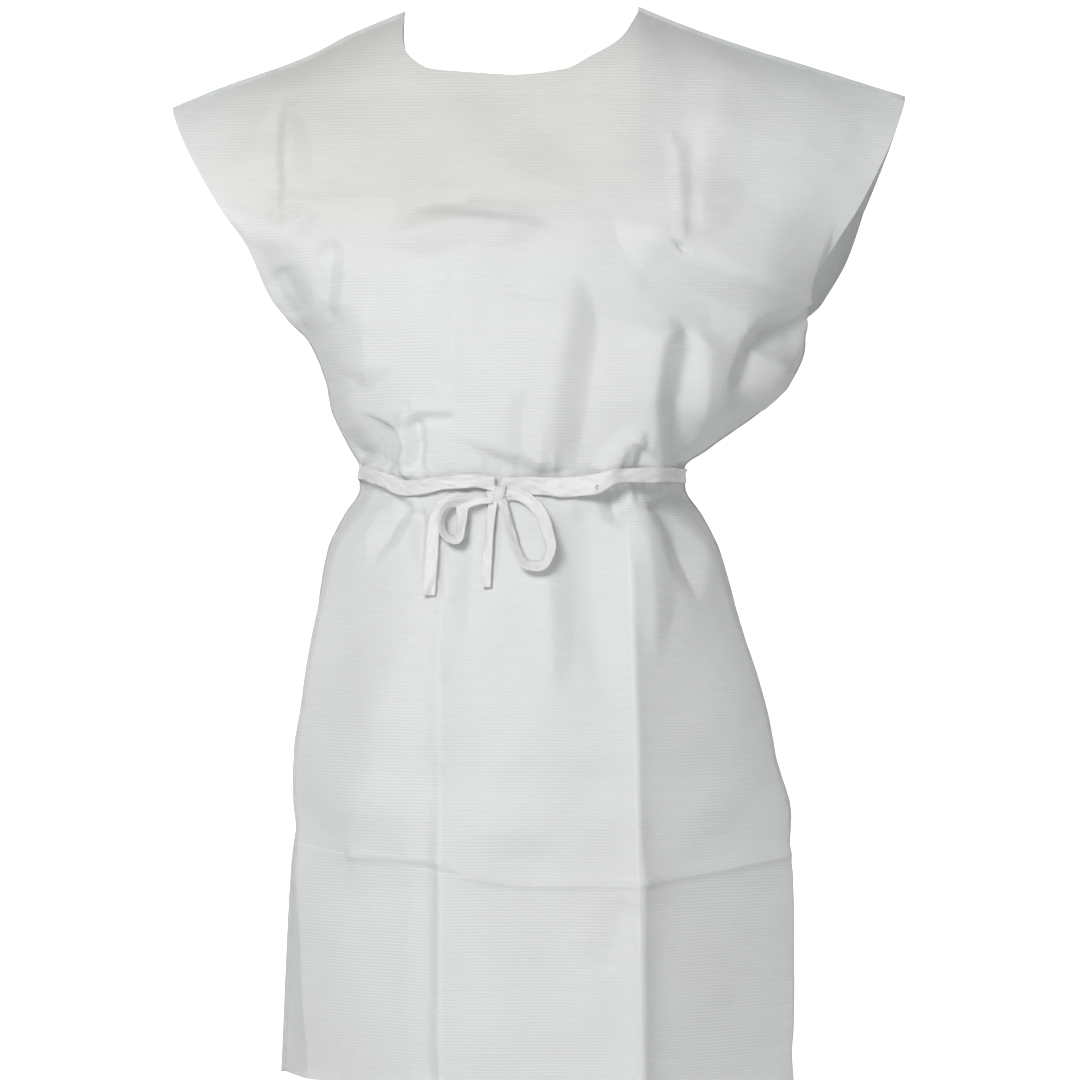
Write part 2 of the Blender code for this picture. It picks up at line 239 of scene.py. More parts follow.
# ---------------------------------------------------------------------------------------------------
# Front sheet: one 762 by 1067 mm piece, cut with a shallow round neck. Its shape is read from rails,
# lines that run from the shoulders to the hem at the edges and on the packing creases, and then the
# folds and creases that it has taken up in wear are raised on it.
# ---------------------------------------------------------------------------------------------------

HEM_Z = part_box("front_panel")[0].z + 0.001
SEAM_ROOM = 0.0012
UNDERARM_Z = -0.310
WAIST_Z = -0.470
BOND_WIDTH = 0.0045

RAIL_SHARES = (-1.0, -0.75, -0.25, 0.25, 0.75, 1.0)
FRONT_RAILS = [
    # height, then across and forward at each rail, left to right
    (-0.092, (-0.349, -0.262, -0.087, 0.096, 0.287, 0.383),
     (-0.044, -0.074, -0.098, -0.098, -0.070, -0.034)),
    (-0.150, (-0.327, -0.248, -0.083, 0.092, 0.270, 0.360),
     (-0.062, -0.086, -0.107, -0.107, -0.082, -0.052)),
    (-0.200, (-0.300, -0.232, -0.080, 0.087, 0.252, 0.334),
     (-0.070, -0.094, -0.117, -0.117, -0.090, -0.058)),
    (-0.240, (-0.272, -0.216, -0.078, 0.084, 0.238, 0.309),
     (-0.060, -0.094, -0.127, -0.127, -0.090, -0.048)),
    (-0.290, (-0.250, -0.200, -0.077, 0.080, 0.224, 0.284),
     (-0.030, -0.086, -0.130, -0.130, -0.088, -0.022)),
    (-0.335, (-0.214, -0.180, -0.076, 0.079, 0.228, 0.286),
     (0.000, -0.074, -0.129, -0.129, -0.084, -0.002)),
    (-0.375, (-0.198, -0.168, -0.075, 0.079, 0.220, 0.270),
     (0.006, -0.068, -0.126, -0.126, -0.078, 0.006)),
    (-0.400, (-0.193, -0.162, -0.075, 0.079, 0.202, 0.243),
     (0.006, -0.064, -0.122, -0.122, -0.072, 0.006)),
    (-0.438, (-0.175, -0.150, -0.077, 0.080, 0.166, 0.190),
     (0.006, -0.058, -0.1155, -0.1155, -0.062, 0.006)),
    (-0.458, (-0.165, -0.143, -0.079, 0.082, 0.142, 0.165),
     (0.006, -0.054, -0.1095, -0.1095, -0.058, 0.006)),
    (-0.478, (-0.165, -0.143, -0.079, 0.083, 0.143, 0.166),
     (0.006, -0.050, -0.104, -0.104, -0.054, 0.006)),
    (-0.505, (-0.181, -0.160, -0.080, 0.095, 0.158, 0.183),
     (0.010, -0.048, -0.112, -0.112, -0.054, 0.008)),
    (-0.540, (-0.198, -0.183, -0.080, 0.104, 0.184, 0.201),
     (0.014, -0.044, -0.121, -0.121, -0.052, 0.010)),
    (-0.600, (-0.208, -0.200, -0.080, 0.106, 0.208, 0.218),
     (0.020, -0.038, -0.131, -0.130, -0.048, 0.014)),
    (-0.680, (-0.215, -0.213, -0.080, 0.108, 0.234, 0.238),
     (0.028, -0.034, -0.139, -0.138, -0.046, 0.018)),
    (-0.780, (-0.222, -0.224, -0.079, 0.111, 0.258, 0.254),
     (0.036, -0.030, -0.145, -0.145, -0.046, 0.022)),
    (-0.860, (-0.233, -0.225, -0.079, 0.113, 0.270, 0.262),
     (0.040, -0.028, -0.149, -0.149, -0.046, 0.026)),
    (-1.067, (-0.243, -0.216, -0.079, 0.115, 0.270, 0.264),
     (0.046, -0.024, -0.152, -0.153, -0.048, 0.032)),
]
SHOULDER_LEFT = [(-0.349, -0.102), (-0.300, -0.082), (-0.217, -0.052), (-0.170, -0.028), (-0.117, -0.006)]
NECKLINE = [(-0.117, -0.006), (-0.1185, -0.023), (-0.1165, -0.041), (-0.108, -0.054), (-0.089, -0.065),
            (-0.044, -0.069), (0.000, -0.071), (0.040, -0.067), (0.068, -0.053), (0.098, -0.034),
            (0.111, -0.012), (0.116, -0.001)]
SHOULDER_RIGHT = [(0.116, -0.001), (0.160, -0.019), (0.213, -0.038), (0.300, -0.065), (0.383, -0.091)]
NECK_SHARES = (-0.46, 0.34)


def joined(start, end, start_slope, end_slope, t):
    """A curve from start to end that leaves and arrives at the given slopes."""
    return ((2 * t ** 3 - 3 * t ** 2 + 1) * start + (t ** 3 - 2 * t ** 2 + t) * start_slope
            + (3 * t ** 2 - 2 * t ** 3) * end + (t ** 3 - t ** 2) * end_slope)


def smooth(places, values, at):
    """A curve through values at rising places that never overshoots them."""
    places, values = np.asarray(places, float), np.asarray(values, float)
    at = np.clip(at, places[0], places[-1])
    rise = np.diff(values) / np.diff(places)
    slopes = np.zeros(len(places))
    before, after = rise[:-1], rise[1:]
    turning = before * after <= 0
    total = np.where(turning, 1.0, before + after)
    slopes[1:-1] = np.where(turning, 0.0, 2 * before * after / total)
    slopes[0], slopes[-1] = rise[0], rise[-1]
    i = np.clip(np.searchsorted(places, at, side="right") - 1, 0, len(places) - 2)
    span = places[i + 1] - places[i]
    return joined(values[i], values[i + 1], span * slopes[i], span * slopes[i + 1], (at - places[i]) / span)


def ease(value):
    """A smooth step from 0 to 1."""
    value = np.clip(value, 0, 1)
    return value * value * (3 - 2 * value)


def run_lengths(route):
    """How far along a route of points each of them lies."""
    return np.concatenate([[0], np.cumsum(np.linalg.norm(np.diff(route, axis=0), axis=1))])


def unit(vectors):
    """The same directions, each one long."""
    return vectors / np.maximum(np.linalg.norm(vectors, axis=-1, keepdims=True), 1e-9)


def along(route, share):
    """Points on a smooth curve through a route of (x, z) points, share from 0 to 1."""
    route = np.asarray(route, float)
    steps = run_lengths(route)
    at = np.asarray(share) * steps[-1]
    return smooth(steps, route[:, 0], at), smooth(steps, route[:, 1], at)


def rails_at(rails, shares, across, height, crispness):
    """Points of a sheet: rails give it at a few shares across, and it runs between them.
    crispness 0 rounds it from rail to rail, and 1 folds it sharply on each rail."""
    levels = -np.array([row[0] for row in rails])
    shares = np.asarray(shares, float)
    last = len(shares) - 1
    k = np.clip(np.searchsorted(shares, across, side="right") - 1, 0, last - 1)
    span = shares[k + 1] - shares[k]
    t = (across - shares[k]) / span
    index = np.indices(across.shape)
    out = []
    for axis in (1, 2):
        columns = np.stack([smooth(levels, [row[axis][n] for row in rails], -height)
                            for n in range(last + 1)], axis=-1)
        slopes = []
        for rail in (k, k + 1):
            before, after = np.maximum(rail - 1, 0), np.minimum(rail + 1, last)
            rise = columns[(*index, after)] - columns[(*index, before)]
            slopes.append(rise / (shares[after] - shares[before]))
        start, end = columns[(*index, k)], columns[(*index, k + 1)]
        straight = start * (1 - t) + end * t
        rounded = joined(start, end, span * slopes[0], span * slopes[1], t)
        out.append(straight * crispness + rounded * (1 - crispness))
    return out


def shoulder_height(x):
    """The line the two shoulder seams lie on, level across the neck."""
    line = SHOULDER_LEFT + SHOULDER_RIGHT
    return np.interp(x, [p[0] for p in line], [p[1] for p in line])


def outward(points, facing):
    """Unit normals of a grid of points from its rows and columns. facing is 1 where the columns run to
    the right as the outside is looked at, and -1 where they run to the left."""
    down, right = np.gradient(points, axis=0), np.gradient(points, axis=1)
    return unit(np.cross(down, right) * facing)


def distance_to(route, x, z):
    """Signed distance of points from a route of (x, z) points, positive to its left, and the share
    of the route's length that the nearest point lies at."""
    route = np.asarray(route, float)
    starts = run_lengths(route)
    best = np.full(x.shape, 1e9)
    side, share = np.zeros(x.shape), np.zeros(x.shape)
    for i, length in enumerate(np.linalg.norm(np.diff(route, axis=0), axis=1)):
        step = (route[i + 1] - route[i]) / length
        dx, dz = x - route[i, 0], z - route[i, 1]
        run = np.clip(dx * step[0] + dz * step[1], 0, length)
        off_x, off_z = dx - run * step[0], dz - run * step[1]
        gap = np.hypot(off_x, off_z)
        nearer = gap < best
        best = np.where(nearer, gap, best)
        side = np.where(nearer, np.sign(step[0] * dz - step[1] * dx), side)
        share = np.where(nearer, (starts[i] + run) / starts[-1], share)
    return best * side, share


PAPER_ROUNDING = 0.18


def fold(x, z, route, height, width, fade=(0.2, 0.2), form="roll", steep=0.3):
    """How far one fold lifts the sheet. roll is a paper fold, flat on both flanks, and crease a sharp one
    that dies away. lap falls steeply on the left of the route's direction, within steep of its width on
    the other side. height and width are in metres; fade is the share of the route it dies out over."""
    gap, share = distance_to(route, x, z)
    ends = ease(share / max(fade[0], 1e-6)) * ease((1 - share) / max(fade[1], 1e-6))
    if form == "crease":
        return height * ends * np.exp(-np.abs(gap) / width)
    width = width * (0.30 + 0.70 * ends)
    reach = np.where(gap > 0, width * steep, width) * 1.7 if form == "lap" else width * 1.7
    ridge = PAPER_ROUNDING * width
    flank = 1 - (np.sqrt(gap ** 2 + ridge ** 2) - ridge) / reach
    return height * ends * (flank + np.sqrt(flank ** 2 + 0.012)) / 2


def placed(name, data):
    """A new object of the scene, from its mesh, camera or light."""
    obj = bpy.data.objects.new(name, data)
    bpy.context.scene.collection.objects.link(obj)
    return obj


def shaped(name, bm):
    """The smooth-shaded object that a finished bmesh becomes."""
    mesh = bpy.data.meshes.new(name)
    bm.to_mesh(mesh)
    bm.free()
    mesh.shade_smooth()
    return placed(name, mesh)


def dress(piece, finish, node):
    """Gives a piece its finish and material slot, and hides the CAD part of the node that it stands for."""
    piece.data.materials.append(finish)
    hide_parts(node)


def cloth(name, points, facing, keep=None):
    """A mesh from a grid of points, its faces looking outward. keep says which of its squares are cloth."""
    rows, columns = points.shape[:2]
    bm = bmesh.new()
    verts = [[bm.verts.new(points[r, c]) for c in range(columns)] for r in range(rows)]
    for r in range(rows - 1):
        for c in range(columns - 1):
            if keep is None or keep[r, c]:
                corners = (verts[r][c], verts[r + 1][c], verts[r + 1][c + 1], verts[r][c + 1])
                bm.faces.new(corners if facing > 0 else corners[::-1])
    loose = [v for v in bm.verts if not v.link_faces]
    bmesh.ops.delete(bm, geom=loose, context="VERTS")
    return shaped(name, bm)


FRONT_COLUMNS = 241
YOKE_ROWS = 60
LOWER_ROWS = 290
YOKE_Z = -0.2

# Each fold: its route as (x, z) points, its height and width, the share it dies out over at each end and,
# where it isn't a plain paper fold, its form and how steep it is
FRONT_FOLDS = [
    # pressed packing creases: level over the chest and over the thighs, then upright
    ([(-0.300, -0.196), (-0.110, -0.197), (-0.062, -0.196)], 0.0026, 0.012, (0.3, 0.3), "crease"),
    ([(-0.062, -0.194), (-0.020, -0.189), (0.060, -0.195)], -0.0026, 0.008, (0.4, 0.45)),
    ([(-0.125, -0.203), (-0.080, -0.200), (-0.050, -0.204)], -0.0024, 0.007),
    ([(-0.066, -0.212), (-0.030, -0.210), (0.004, -0.214), (0.030, -0.222)], -0.0030, 0.009, (0.4, 0.6)),
    ([(0.036, -0.231), (-0.002, -0.222), (-0.035, -0.220), (-0.066, -0.222), (-0.096, -0.231),
      (-0.150, -0.238)], 0.0075, 0.013, (0.3, 0.35)),
    ([(-0.173, -0.838), (-0.082, -0.842), (-0.052, -0.855), (-0.002, -0.863), (0.113, -0.863),
      (0.126, -0.860), (0.170, -0.855), (0.272, -0.840)], 0.0042, 0.012, (0.03, 0.02), "crease"),
    ([(-0.173, -0.845), (-0.082, -0.849), (-0.052, -0.862), (-0.002, -0.870), (0.113, -0.870),
      (0.126, -0.867), (0.170, -0.862), (0.272, -0.847)], -0.0010, 0.005, (0.03, 0.02), "crease"),
    ([(-0.079, -0.570), (-0.079, -1.080)], 0.0034, 0.012, (0.2, 0.0), "crease"),
    ([(-0.090, -0.600), (-0.091, -1.080)], -0.0030, 0.010, (0.2, 0.0)),
    ([(0.104, -0.526), (0.108, -0.640), (0.113, -0.860), (0.115, -1.080)], 0.0072, 0.018, (0.08, 0.0),
     "crease"),
    # left shoulder
    ([(-0.229, -0.090), (-0.232, -0.150), (-0.236, -0.228)], 0.0070, 0.014, (0.4, 0.3)),
    ([(-0.241, -0.085), (-0.242, -0.160), (-0.238, -0.224)], -0.0058, 0.010, (0.4, 0.3)),
    ([(-0.270, -0.235), (-0.252, -0.190), (-0.248, -0.150)], -0.0065, 0.030, (0.3, 0.4)),
    ([(-0.238, -0.230), (-0.199, -0.206)], -0.0030, 0.009, (0.4, 0.4)),
    ([(-0.185, -0.228), (-0.188, -0.270), (-0.194, -0.313), (-0.199, -0.344)], -0.0055, 0.009, (0.2, 0.3)),
    ([(-0.170, -0.240), (-0.176, -0.320)], 0.0045, 0.016, (0.3, 0.3)),
    ([(-0.150, -0.290), (-0.151, -0.385)], 0.0065, 0.014, (0.3, 0.3)),
    ([(-0.246, -0.262), (-0.232, -0.285), (-0.215, -0.312)], -0.004, 0.012),
    # chest
    ([(-0.067, -0.250), (-0.068, -0.330), (-0.070, -0.404)], -0.0033, 0.010, (0.4, 0.2)),
    ([(-0.057, -0.250), (-0.058, -0.400)], 0.0018, 0.009, (0.4, 0.2)),
    ([(0.048, -0.262), (0.045, -0.300), (0.036, -0.350), (0.026, -0.415), (0.012, -0.468)], 0.0104, 0.046,
     (0.30, 0.10), "lap", 0.34),
    ([(0.002, -0.375), (0.001, -0.425), (0.004, -0.466)], -0.0036, 0.009, (0.4, 0.2)),
    ([(-0.112, -0.403), (-0.062, -0.405)], 0.0032, 0.006, (0.1, 0.3)),
    ([(-0.112, -0.411), (-0.060, -0.412)], -0.0030, 0.005, (0.1, 0.3)),
    ([(-0.114, -0.402), (-0.111, -0.470)], 0.0050, 0.0065, (0.08, 0.1)),
    ([(-0.106, -0.410), (-0.103, -0.440), (-0.107, -0.466)], -0.0065, 0.006, (0.15, 0.15)),
    ([(-0.128, -0.415), (-0.146, -0.437), (-0.152, -0.455)], -0.010, 0.016, (0.25, 0.1)),
    # right shoulder and side
    ([(0.129, -0.125), (0.147, -0.133), (0.154, -0.156), (0.155, -0.240)], 0.0019, 0.0065, (0.3, 0.1)),
    ([(0.171, -0.112), (0.168, -0.156), (0.159, -0.236)], -0.0015, 0.007, (0.3, 0.1)),
    ([(0.200, -0.080), (0.186, -0.150), (0.172, -0.235)], 0.0026, 0.020, (0.3, 0.2)),
    ([(0.154, -0.243), (0.152, -0.246)], -0.0040, 0.006, (0.0, 0.0)),
    ([(0.290, -0.297), (0.215, -0.268), (0.161, -0.252), (0.120, -0.232), (0.086, -0.214)], 0.0135, 0.040,
     (0.05, 0.25), "lap", 0.38),
    ([(0.098, -0.230), (0.149, -0.266), (0.192, -0.306), (0.275, -0.322)], -0.0066, 0.022, (0.30, 0.10)),
    ([(0.146, -0.305), (0.133, -0.345), (0.123, -0.395), (0.133, -0.462)], 0.0118, 0.036, (0.20, 0.06),
     "lap", 0.42),
    ([(0.162, -0.318), (0.152, -0.395), (0.150, -0.455)], -0.0060, 0.014, (0.2, 0.1)),
    ([(0.175, -0.320), (0.180, -0.390), (0.172, -0.430)], 0.0060, 0.018, (0.2, 0.3)),
    ([(0.289, -0.303), (0.261, -0.327), (0.238, -0.347), (0.221, -0.384), (0.208, -0.425)], -0.0125, 0.0130,
     (0.04, 0.40)),
    ([(0.262, -0.345), (0.246, -0.375), (0.226, -0.405)], 0.006, 0.016),
    ([(0.116, -0.418), (0.098, -0.440), (0.078, -0.466)], 0.0044, 0.008, (0.25, 0.05)),
    ([(0.118, -0.432), (0.106, -0.464)], -0.0050, 0.010, (0.25, 0.05)),
    ([(0.125, -0.445), (0.123, -0.466)], 0.0045, 0.007, (0.3, 0.05)),
    # skirt
    ([(-0.100, -0.494), (-0.1005, -0.530), (-0.100, -0.566)], -0.0055, 0.0050, (0.15, 0.4)),
    ([(-0.0745, -0.530), (-0.0765, -0.560), (-0.078, -0.602)], -0.0050, 0.0045, (0.3, 0.5)),
    ([(-0.066, -0.496), (-0.067, -0.538)], -0.0060, 0.0090, (0.2, 0.3)),
    ([(-0.0265, -0.500), (-0.0290, -0.580)], -0.0036, 0.0050, (0.2, 0.4)),
    ([(-0.097, -0.590), (-0.132, -0.710), (-0.160, -0.825), (-0.168, -0.900)], 0.0105, 0.040, (0.30, 0.45)),
    ([(-0.112, -0.491), (-0.129, -0.514), (-0.150, -0.560)], -0.0065, 0.009, (0.05, 0.5)),
    ([(-0.040, -0.490), (-0.050, -0.560), (-0.055, -0.640)], -0.0060, 0.014, (0.1, 0.5)),
    ([(0.024, -0.520), (0.028, -0.600), (0.030, -0.690)], 0.0045, 0.013, (0.2, 0.4)),
    ([(0.060, -0.490), (0.066, -0.560), (0.080, -0.700)], -0.0040, 0.020, (0.1, 0.5)),
    ([(0.105, -0.874), (0.089, -0.918), (0.075, -0.955)], -0.0028, 0.012),
    ([(0.086, -0.479), (0.101, -0.521)], -0.0070, 0.009, (0.05, 0.5)),
    ([(0.133, -0.485), (0.153, -0.516), (0.176, -0.600)], -0.0080, 0.012, (0.05, 0.5)),
    ([(0.116, -0.490), (0.124, -0.560), (0.132, -0.660)], 0.0050, 0.014, (0.1, 0.5)),
]


def yoke_turn(share, across):
    """How far a column has moved from its place on the top edge to its place below the yoke: evenly near
    the neck, and late near the armhole, whose edge bows outward."""
    late = ease((np.abs(across) - 0.5) / 0.4)
    return share ** (1 + 0.22 * late)


def front_points():
    """The front sheet's grid: rows run from its cut top edge to the hem, columns from left to right."""
    across = np.linspace(-1, 1, FRONT_COLUMNS)
    neck_left, neck_right = NECK_SHARES
    top_x, top_z = np.zeros(FRONT_COLUMNS), np.zeros(FRONT_COLUMNS)
    stretches = ((SHOULDER_LEFT, -1, neck_left), (NECKLINE, neck_left, neck_right),
                 (SHOULDER_RIGHT, neck_right, 1))
    for route, start, end in stretches:
        inside = (across >= start - 1e-9) & (across <= end + 1e-9)
        top_x[inside], top_z[inside] = along(route, (across[inside] - start) / (end - start))
    share = np.linspace(0, 1, YOKE_ROWS, endpoint=False)[:, None]
    yoke_z = top_z + share * (YOKE_Z - top_z)
    lower_z = np.repeat(np.linspace(YOKE_Z, HEM_Z, LOWER_ROWS)[:, None], FRONT_COLUMNS, axis=1)
    height = np.vstack([yoke_z, lower_z])
    wide = np.broadcast_to(across, height.shape).copy()
    crispness = 0.15 + 0.75 * ease((-0.78 - height) / 0.10)
    x, y = rails_at(FRONT_RAILS, RAIL_SHARES, wide, height, crispness)
    at_yoke = np.full((1, FRONT_COLUMNS), YOKE_Z)
    edge_x, _ = rails_at(FRONT_RAILS, RAIL_SHARES, wide[:1], at_yoke, crispness[:1])
    x[:YOKE_ROWS] = top_x + yoke_turn(share, across) * (edge_x - top_x)
    x -= np.sign(wide) * BOND_WIDTH * ease((UNDERARM_Z - height) / 0.02) * np.abs(wide) ** 6
    below = np.maximum(0, shoulder_height(x) - height)
    y = y * (1 - np.exp(-below / 0.045)) - SEAM_ROOM
    return np.stack([x, y, height], axis=-1)


def crumple(x, z, seed):
    """Low facets of handled paper: a few crossing waves folded sharp."""
    rng = np.random.default_rng(seed)
    lift = np.zeros_like(x)
    for _ in range(14):
        angle, length = rng.uniform(0, math.pi), rng.uniform(0.05, 0.16)
        phase = rng.uniform(0, 1)
        run = (x * math.cos(angle) + z * math.sin(angle)) / length + phase + 0.25 * np.sin(z * 21 + seed)
        lift += (np.abs(run % 1 - 0.5) - 0.25) * length
    return lift


def gathers(x, z, reach, seed):
    """Small folds that the strap pulls in, strongest at the strap and dying out above and below.
    reach is how far across the sheet they go to each side."""
    rng = np.random.default_rng(seed)
    lift = np.zeros_like(x)
    at = -reach
    while at < reach:
        at += rng.uniform(0.008, 0.017)
        above, below = rng.uniform(0.014, 0.045), rng.uniform(0.012, 0.050)
        size, width = rng.uniform(0.0010, 0.0046), rng.uniform(0.0032, 0.0062)
        lean = 0.35 * at / reach + rng.uniform(-0.12, 0.12)
        off = x - at - np.abs(z - WAIST_Z) * lean
        span = np.where(z > WAIST_Z, above, below)
        lift += size * np.exp(-(off / width) ** 2) * np.exp(-((z - WAIST_Z) / span) ** 2)
    return lift


FOLD_GAIN = 1.45
CRUMPLE_SIZE = 0.020
GATHER_REACH = 0.155
front_grid = front_points()
grid_x, grid_z = front_grid[..., 0].copy(), front_grid[..., 2].copy()
lift = sum(fold(grid_x, grid_z, *entry) for entry in FRONT_FOLDS)
lift = lift * FOLD_GAIN + CRUMPLE_SIZE * crumple(grid_x, grid_z, 4)
lift += gathers(grid_x, grid_z, GATHER_REACH, 8)
rim = ease((1 - np.abs(np.linspace(-1, 1, FRONT_COLUMNS))) / 0.05)[None, :]
top_rim = ease(np.maximum(0, shoulder_height(grid_x) - grid_z) / 0.03)
front_grid += outward(front_grid, 1) * (lift * rim * top_rim)[..., None]
front_sheet = cloth("front_sheet", front_grid, 1)
dress(front_sheet, tissue, "front_panel")
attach(front_sheet, "gown")


# ---------------------------------------------------------------------------------------------------
# Back: two half sheets of the same laminate, each 381 mm wide, that meet at the opening down the middle.
# Below the waist the inner half of each is a separate flap piece, cut off along a straight upright crease.
# The rest is one L-shaped piece. Soft upright pleats take up the width that the strap draws in.
# ---------------------------------------------------------------------------------------------------

SIGN = {"left": -1, "right": 1}
FLAP_TOP_Z = -0.520
BACK_COLUMNS = 105
CREASE_COLUMN = 52
BACK_YOKE_ROWS = 36
BACK_CHEST_ROWS = 96
FLAP_ROWS = 150
PLEATS = 3
BACK_LEVEL_CREASES = (-0.196, -0.409, -0.622, -0.835)

# Height, then how far out and how far back the upright crease lies above the flap
BACK_CREASE = [(-0.090, 0.150, 0.082), (-0.200, 0.168, 0.090), (-0.300, 0.156, 0.090),
               (-0.400, 0.128, 0.082), (-0.445, 0.112, 0.074), (-0.470, 0.106, 0.070),
               (-0.495, 0.116, 0.076), (-0.520, 0.128, 0.0814)]
# Height, half the opening, and how far back the edges of the opening lie
BACK_MIDDLE = [(-0.070, 0.0050, 0.086), (-0.150, 0.0050, 0.106), (-0.250, 0.0050, 0.112),
               (-0.350, 0.0050, 0.108), (-0.430, 0.0050, 0.098), (-0.470, 0.0050, 0.091),
               (-0.520, 0.0055, 0.103), (-0.590, 0.0070, 0.112), (-0.740, 0.0110, 0.124),
               (-0.860, 0.0140, 0.135), (-1.067, 0.0170, 0.150)]
# The back's armhole edge, from the shoulder to the underarm: height, across, back
BACK_ARMHOLE = {
    "left": [(-0.100, -0.349, 0.010), (-0.150, -0.323, 0.034), (-0.200, -0.294, 0.044),
             (-0.250, -0.259, 0.030), (-0.290, -0.246, 0.010), (-0.310, -0.233, -0.003)],
    "right": [(-0.090, 0.383, 0.010), (-0.150, 0.360, 0.036), (-0.200, 0.345, 0.048), (-0.250, 0.327, 0.036),
              (-0.290, 0.303, 0.008), (-0.310, 0.289, -0.012)],
}
BACK_TOP = {
    "left": (NECKLINE[6::-1], SHOULDER_LEFT[::-1], -NECK_SHARES[0]),
    "right": (NECKLINE[6:], SHOULDER_RIGHT, NECK_SHARES[1]),
}


def table(rows, column, height):
    """One column of a table whose rows start with falling heights."""
    return smooth([-row[0] for row in rows], [row[column] for row in rows], -height)


def flap_crease(side):
    """The straight line that a flap swings on: a point on it, and its direction downward."""
    joint = next(j for j in frame["joints"] if j["child"] == "flap_" + side)
    point, axis = np.array(joint["pos_m"]), np.array(joint["axis"])
    return point, axis * -np.sign(axis[2])


def side_edge(side, height):
    """The back's side edge: it follows the front sheet's edge, and parts from it at the armhole."""
    end = 0 if side == "left" else -1
    sign = SIGN[side]
    across = np.full((len(height), 1), float(RAIL_SHARES[end]))
    x, y = rails_at(FRONT_RAILS, RAIL_SHARES, across, height[:, None], np.zeros((len(height), 1)))
    x, y = x[:, 0] - sign * BOND_WIDTH * ease((UNDERARM_Z - height) / 0.02), y[:, 0]
    in_armhole = ease((height - UNDERARM_Z) / 0.012)
    return (x + in_armhole * (table(BACK_ARMHOLE[side], 1, height) - x),
            y + in_armhole * (table(BACK_ARMHOLE[side], 2, height) - y))


def pleat_lift(share, height, seed):
    """Soft upright pleats. They vanish on the flap's crease and at both edges of the half sheet, and turn
    to close gathers at the strap."""
    rng = np.random.default_rng(seed)
    swing = rng.uniform(-1, 1, 6)
    steps = (share - 0.5) * 2 * PLEATS
    skirt = ease((-0.475 - height) / 0.10)
    chest = ease((height + 0.465) / 0.05) * ease((-0.13 - height) / 0.25)
    bend = 0.34 * np.sin(2 * math.pi * share * 2) * (swing[0] + swing[1] * np.sin(height * 7 + swing[2] * 3))
    wave = np.sin(2 * math.pi * (steps + bend))
    wave = np.sign(wave) * np.abs(wave) ** 0.8
    size = 0.0098 + 0.0022 * np.sin(height * 9 + share * 5 + swing[3] * 3)
    lift = size * (0.35 + 0.65 * ease((-0.50 - height) / 0.30)) * skirt * wave
    lift += 0.0058 * chest * np.sin(2 * math.pi * (steps + bend + 0.1 * swing[4]))
    fine = np.sin(2 * math.pi * (steps * 2.6 + 0.3 * np.sin(steps * 2.3 + swing[5])))
    lift += 0.0032 * fine * np.exp(-((height - WAIST_Z) / 0.045) ** 2)
    return lift


